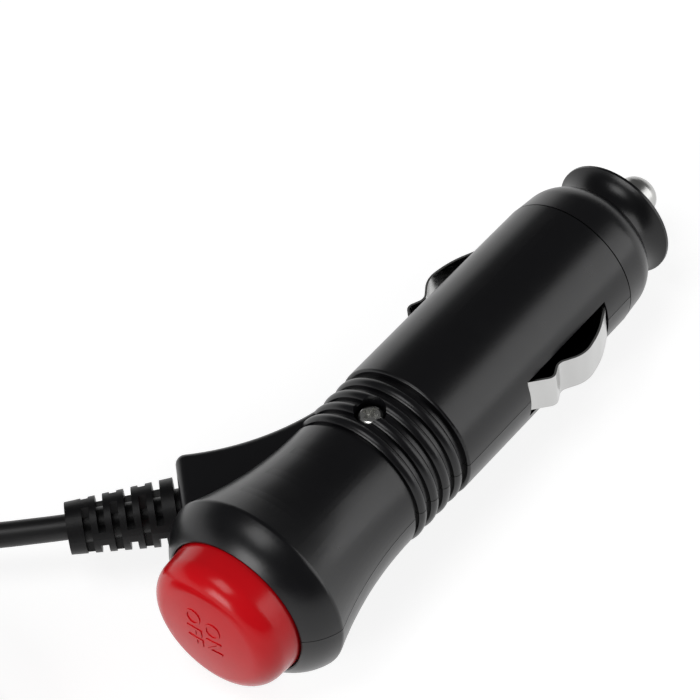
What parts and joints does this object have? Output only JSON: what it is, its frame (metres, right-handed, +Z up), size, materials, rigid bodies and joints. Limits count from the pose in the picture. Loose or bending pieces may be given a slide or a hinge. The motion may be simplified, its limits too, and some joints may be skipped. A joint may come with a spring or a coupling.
{
  "type": "cigarette lighter plug adapter",
  "caption": "Round-barrelled car lighter plug with a push button in its rear face, sprung side contacts, a sprung centre tip in a screw cap and a corded side outlet.",
  "frame": {"origin": "on the table, under the middle of the plug with its strain relief", "axes": "+X from the button towards the nose, +Y towards the cord's side, +Z up"},
  "size_m": [0.1617, 0.0668, 0.0269],
  "materials": {
    "shell_black": "satin black moulded plastic",
    "button_red": "glossy red plastic",
    "relief_black": "fine-grained flexible plastic",
    "cord_black": "smooth flexible cord sheath",
    "spring_steel": "bright rolled strip",
    "nickel": "bright nickel plate",
    "screw_steel": "zinc-plated steel",
    "fuse_glass": "clear glass",
    "fuse_wire": "tinned wire",
    "brass": "plain brass",
    "switch_plastic": "dark moulded plastic",
    "plunger_white": "white moulded plastic",
    "lead_red": "red wire insulation",
    "lead_black": "black wire insulation",
    "tie_black": "flat plastic tie",
    "insulator": "black insulating plastic"
  },
  "bodies": {
    "housing": {"upper_shell": "shell_black", "lower_shell": "shell_black", "housing_screw": "screw_steel", "fuse_spring": "spring_steel", "fuse_terminal": "brass", "switch_body": "switch_plastic", "switch_tab_cord": "brass", "switch_tab_fuse": "brass", "lead_cord_to_switch": "lead_red", "lead_switch_to_fuse": "lead_red", "lead_earth": "lead_black", "earth_link": "lead_black", "strain_relief": "relief_black", "cord_run": "cord_black", "cord_coil": "cord_black", "cord_tail": "cord_black", "coil_tie": "tie_black", "dc_plug_body": "shell_black", "dc_plug_sleeve": "nickel", "dc_plug_insulator": "insulator", "dc_plug_centre": "brass"},
    "button": {"push_button": "button_red", "switch_plunger": "plunger_white"},
    "nose": {"nose_cap": "shell_black"},
    "tip": {"tip_contact": "nickel"},
    "fuse": {"fuse_glass": "fuse_glass", "fuse_cap_front": "nickel", "fuse_cap_rear": "nickel", "fuse_element": "fuse_wire"},
    "contact_left": {"side_contact_left": "spring_steel"},
    "contact_right": {"side_contact_right": "spring_steel"}
  },
  "joints": [
    {"name": "button_press", "type": "slide", "parent": "housing", "child": "button", "axis": [0.9989, 0, -0.0477], "range_m": [0, 0.0026], "stiffness_N_per_m": 900, "springref_m": -0.0012},
    {"name": "nose_cap_off", "type": "slide", "parent": "housing", "child": "nose", "axis": [0.9989, 0, -0.0477], "range_m": [0, 0.006]},
    {"name": "tip_press", "type": "slide", "parent": "nose", "child": "tip", "axis": [-0.9989, 0, 0.0477], "range_m": [0, 0.003], "stiffness_N_per_m": 700, "springref_m": -0.001},
    {"name": "fuse_slide", "type": "slide", "parent": "housing", "child": "fuse", "axis": [-0.9989, 0, 0.0477], "range_m": [0, 0.003], "deforming": ["fuse_spring"]},
    {"name": "contact_left_press", "type": "slide", "parent": "housing", "child": "contact_left", "axis": [0.0074, -0.988, 0.1545], "range_m": [0, 0.0028], "stiffness_N_per_m": 1200, "springref_m": -0.0005},
    {"name": "contact_right_press", "type": "slide", "parent": "housing", "child": "contact_right", "axis": [-0.0074, 0.988, -0.1545], "range_m": [0, 0.0028], "stiffness_N_per_m": 1200, "springref_m": -0.0005}
  ],
  "couplings": [
    {"joint": "fuse_slide", "follows": "tip_press", "ratio": 1}
  ]
}
